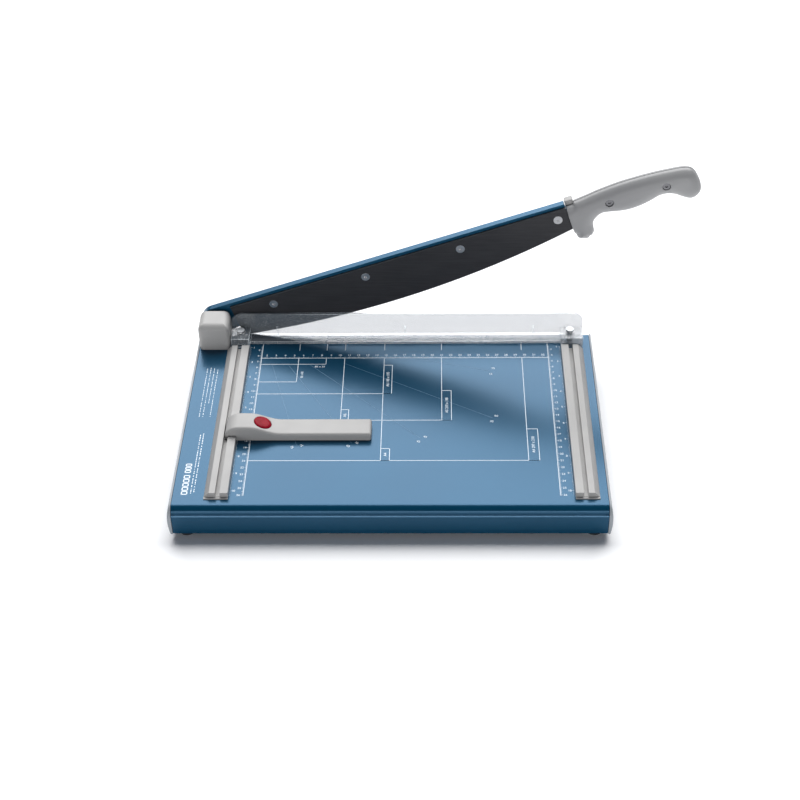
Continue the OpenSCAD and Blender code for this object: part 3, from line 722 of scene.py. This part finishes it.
def coil(name, node, wire, turns, body):
    """An upright coil spring, closed at both ends, that fills and stands for a CAD spring."""
    low_corner, high_corner = local_box(node)
    centre = middle_of(node)
    low, high = low_corner.z, high_corner.z
    radius = (high_corner.x - low_corner.x) / 2 - wire
    sides, per_turn = 8, 24
    count = int(turns * per_turn)
    points, faces = [], []
    for i in range(count + 1):
        share = i / count
        turn = 2 * math.pi * turns * share
        climb = min(max((share * turns - 0.75) / (turns - 1.5), 0), 1)
        z = low + wire + (high - low - 2 * wire) * climb
        for k in range(sides):
            a = 2 * math.pi * k / sides
            r = radius + wire * math.cos(a)
            points.append(on_table(centre.x + r * math.cos(turn), centre.y + r * math.sin(turn),
                                   z + wire * math.sin(a)))
    for i in range(count):
        for k in range(sides):
            a, b = i * sides + k, i * sides + (k + 1) % sides
            faces.append((a, a + sides, b + sides, b))
    faces.append(tuple(range(sides)))
    faces.append(tuple(count * sides + k for k in reversed(range(sides))))
    return piece(name, points, faces, body, "screw_steel", [node])


def springs():
    """Return springs of the guard and of the button, each with a mesh of its own."""
    for side in ("left", "right"):
        node = f"guard_spring_{side}"
        made = coil(f"guard_coil_{side}", node, 0.4, 4.5, "base")
        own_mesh(made)
    made = coil("button_coil", "button_spring", 0.35, 4, "backstop")
    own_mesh(made)


# ---------------------------------------------------------------- printed scales

# The ink stands this far above the table, in millimetres; the rulers' lines are placed from the datum
INK_LOW, INK_HIGH = 0.02, 0.06
RULER_Y = -44.4
RULER_X = (14.4, CUT_LEN - 14.4)
GUIDE_TOP = -20.0
RULER_END = -261.0
INCH = 25.4
LINE_W = 0.55
TICK_W = 0.22
CAPITAL = 0.72  # height of a figure in a font of size 1


class Marks:
    """Collects printed strips and figures on the table into one thin mesh."""

    glyphs = {}

    def __init__(self):
        self.points, self.faces = [], []

    def add(self, points, faces):
        """Takes in one more closed shape."""
        first = len(self.points)
        self.points += points
        self.faces += [tuple(first + i for i in f) for f in faces]

    def strip(self, a, b, width):
        """A straight line of that width between two points."""
        a, b = Vector(a), Vector(b)
        side = (b - a).normalized().orthogonal() * width / 2
        corners = [a - side, b - side, b + side, a + side]
        if (b - a).cross(side) < 0:
            corners.reverse()
        points = [on_table(p.x, p.y, z) for z in (INK_LOW, INK_HIGH) for p in corners]
        self.add(points, [(3, 2, 1, 0), (4, 5, 6, 7)] + [(i, (i + 1) % 4, 4 + (i + 1) % 4, 4 + i)
                                                         for i in range(4)])

    def box(self, x0, x1, y0, y1, width):
        """A rectangle of four lines."""
        for a, b in (((x0, y0), (x1, y0)), ((x1, y0), (x1, y1)), ((x1, y1), (x0, y1)), ((x0, y1), (x0, y0))):
            self.strip(a, b, width)

    def figures(self, text, height, centre, turn=0.0, align=0.5):
        """Figures of that height, turned by degrees; align is the share of their width before the centre."""
        if text not in Marks.glyphs:
            curve = bpy.data.curves.new("figures", "FONT")
            curve.body, curve.size, curve.resolution_u, curve.extrude = text, 1.0, 3, 0.01
            obj = bpy.data.objects.new("figures", curve)
            SCENE.collection.objects.link(obj)
            mesh = obj.to_mesh()
            Marks.glyphs[text] = ([v.co.copy() for v in mesh.vertices],
                                  [tuple(p.vertices) for p in mesh.polygons])
            obj.to_mesh_clear()
            bpy.data.objects.remove(obj)
        shape, faces = Marks.glyphs[text]
        low_x, high_x = min(p.x for p in shape), max(p.x for p in shape)
        size = height / CAPITAL
        c, s = math.cos(math.radians(turn)), math.sin(math.radians(turn))
        points = []
        for p in shape:
            x, y = (p.x - low_x - align * (high_x - low_x)) * size, p.y * size - height / 2
            z = INK_HIGH if p.z > 0 else INK_LOW
            points.append(on_table(centre[0] + x * c - y * s, centre[1] + x * s + y * c, z))
        self.add(points, faces)

    def build(self, name, material):
        """Makes the collected shapes into one piece."""
        piece(name, self.points, self.faces, "base", "blue_paint", material=material)


def top_ruler(marks):
    """Centimetre scale along the table, numbered from the left stop face."""
    marks.strip((RULER_X[0], RULER_Y), (RULER_X[1], RULER_Y), LINE_W)
    for mm in range(math.ceil(RULER_X[0]), int(RULER_X[1]) + 1):
        long = 2.6 if mm % 10 == 0 else 1.9 if mm % 5 == 0 else 1.1
        marks.strip((mm, RULER_Y), (mm, RULER_Y + long), TICK_W)
        if mm % 10 == 0:
            marks.figures(str(mm // 10), 2.9, (mm, RULER_Y + 5.0))


def side_ruler(marks, x, side):
    """Centimetre scale in depth with its numbers outside, and an inch scale against the stop rail."""
    marks.strip((x, GUIDE_TOP), (x, RULER_END), LINE_W)
    rail = 0.6 if side < 0 else CUT_LEN - 0.6
    for mm in range(24, int(-RULER_END) + 1):
        long = 2.4 if mm % 10 == 0 else 1.9 if mm % 5 == 0 else 1.3
        marks.strip((x, -mm), (x + side * long, -mm), TICK_W)
        if mm % 10 == 0:
            marks.figures(str(mm // 10), 2.7, (x + side * 3.0, -mm), align=1 if side < 0 else 0)
    for part in range(16, int(-RULER_END / INCH * 16) + 1):
        depth = part * INCH / 16
        long = 2.2 if part % 16 == 0 else 1.6 if part % 8 == 0 else 0.9
        marks.strip((rail, -depth), (rail - side * long, -depth), TICK_W)
        if part % 16 == 0:
            marks.figures(str(part // 16), 2.7, (rail - side * 4.0, -depth))


def paper_frames(marks):
    """Outlines of common paper sizes against the left ruler and the top ruler."""
    left = RULER_X[0]
    for depth, reach in ((55, 85), (85, 55), (105, 157), (148, 220), (210, 308)):
        marks.strip((left, -depth), (reach, -depth), LINE_W)
    for x, depth in ((55, 85), (85, 55), (105, 148), (148, 210), (210, 148), (297, 210)):
        marks.strip((x, RULER_Y), (x, -depth), LINE_W)
        marks.strip((x, GUIDE_TOP), (x, -31), LINE_W)
    for x0, x1, d0, d1 in ((105, 113, 131, 148), (148, 157, 57, 105), (148, 157, 192, 210),
                           (210, 220, 100, 148), (297, 308, 162, 210)):
        for a, b in (((x0, -d0), (x1, -d0)), ((x1, -d0), (x1, -d1)), ((x1, -d1), (x0, -d1))):
            marks.strip(a, b, LINE_W)
    for text, x, depth in (("A6", 109, 140), ("A6 148 x 105", 152.5, 81), ("A4", 152.5, 201),
                           ("A5 210 x 148", 215, 124), ("A4 297 x 210", 302.5, 186)):
        marks.figures(text, 3.2, (x, -depth), 90)
    marks.figures("85 x 55", 2.6, (84, -59), align=1)
    marks.figures("55 x 85", 2.6, (60, -73), 90)


def angle_guides(faint, marks):
    """Fan of angle lines from the corner of the stop, each with its two angles at the end."""
    corner = Vector((12, 0))
    for angle, reach in ((15, 193), (30, 212), (45, 249), (60, 289), (75, 259)):
        way = Vector((math.sin(math.radians(angle)), -math.cos(math.radians(angle))))
        faint.strip(corner + way * 54 / max(-way.y, 0.3), corner + way * reach, 0.3)
        across = way.orthogonal() * 5
        for label, side in ((angle, 1), (90 - angle, -1)):
            spot = corner + way * (reach + 2) + across * side
            marks.figures(str(label), 2.8, spot, angle - 90 + 20)


def margin_marks(marks):
    """Plain marks in the left margin: a row of boxes and some broken lines, in place of any lettering."""
    cursor = -259.0
    for length in (4, 4, 4, 4, 4, 0, 3, 3, 3):
        if length:
            marks.box(-46.6, -41.4, cursor, cursor + length, 1.1)
        cursor += length + 1.8 if length else 2.5
    near = ((-37.6, -258, -170), (-34.6, -256, -168))
    for number, (x, start, end) in enumerate(near):
        bars(marks, x, start, end, 0.8, number)
    far = ((-42.5, -142, -62), (-38.8, -142, -60), (-35.0, -120, -62), (-31.2, -142, -64))
    for number, (x, start, end) in enumerate(far, 3):
        bars(marks, x, start, end, 0.6, number)


def bars(marks, x, start, end, width, seed):
    """A broken line along Y, its short bars of uneven length from a fixed sequence."""
    y = start
    while y < end:
        seed = (seed * 73 + 41) % 101
        length = 0.9 + seed % 5 * 0.5
        marks.strip((x, y), (x, min(y + length, end)), width)
        y += length + (1.0 if seed % 3 else 2.2)


def prints():
    """All the printing on the table, strong and faint."""
    strong, faint = Marks(), Marks()
    top_ruler(strong)
    side_ruler(strong, RULER_X[0], -1)
    side_ruler(strong, RULER_X[1], 1)
    paper_frames(strong)
    angle_guides(faint, strong)
    margin_marks(strong)
    strong.build("printed_scales", "print_white")
    faint.build("printed_angles", "print_faint")


# ---------------------------------------------------------------- studio

CAMERA_PLACE = (-0.00322, -1.23371, 1.08653)
CAMERA_ANGLES = (49.992, 0.998, 0.985)
CAMERA_LENS = 69.92


def stage_camera():
    """The camera of the picture."""
    data = bpy.data.cameras.new("camera")
    data.lens, data.sensor_width = CAMERA_LENS, 36
    data.clip_start, data.clip_end = 0.05, 60
    camera = bpy.data.objects.new("camera", data)
    SCENE.collection.objects.link(camera)
    camera.location = CAMERA_PLACE
    camera.rotation_euler = Euler([math.radians(a) for a in CAMERA_ANGLES], "XYZ")
    SCENE.camera = camera


def softbox(name, place, aim, size, power):
    """A rectangular soft light that isn't seen directly."""
    data = bpy.data.lights.new(name, "AREA")
    data.shape, data.size, data.size_y, data.energy = "RECTANGLE", size[0], size[1], power
    light = bpy.data.objects.new(name, data)
    SCENE.collection.objects.link(light)
    light.location = place
    light.rotation_euler = (Vector(aim) - Vector(place)).to_track_quat("-Z", "Y").to_euler()
    light.visible_camera = False


def stage_floor():
    """A wide white floor under the object."""
    mesh = bpy.data.meshes.new("floor")
    half = 12
    corners = [(-half, -half, 0), (half, -half, 0), (half, half, 0), (-half, half, 0)]
    mesh.from_pydata(corners, [], [(0, 1, 2, 3)])
    floor = bpy.data.objects.new("floor", mesh)
    SCENE.collection.objects.link(floor)
    mat = principled("floor_paper", Roughness=0.9, Specular_IOR_Level=0.1)
    plug(mat, "Base Color", blend_colour(mat, spread(mat, noise(mat, 3), 0, 1), (0.95, 0.95, 0.96, 1),
                                         (0.97, 0.97, 0.975, 1)))
    mesh.materials.append(mat)


def stage_lights():
    """One large soft light from behind, as in the picture, a low one in front and a weak even fill."""
    softbox("back_softbox", (0.1, 2.46, 3.15), (0, 0, 0), (5.5, 3.5), 380)
    softbox("front_wall", (0.0, -3.2, 0.5), (0, 0, 0.02), (6.0, 0.8), 67)
    world = bpy.data.worlds.new("world")
    world.use_nodes = True
    SCENE.world = world
    background = world.node_tree.nodes["Background"]
    background.inputs["Color"].default_value = (0.62, 0.76, 1.0, 1)
    background.inputs["Strength"].default_value = 0.08
    SCENE.view_settings.view_transform = "Standard"


finish_nodes()
front_shell()
rear_shell()
backstop()
button()
cover()
springs()
prints()
stage_camera()
stage_floor()
stage_lights()
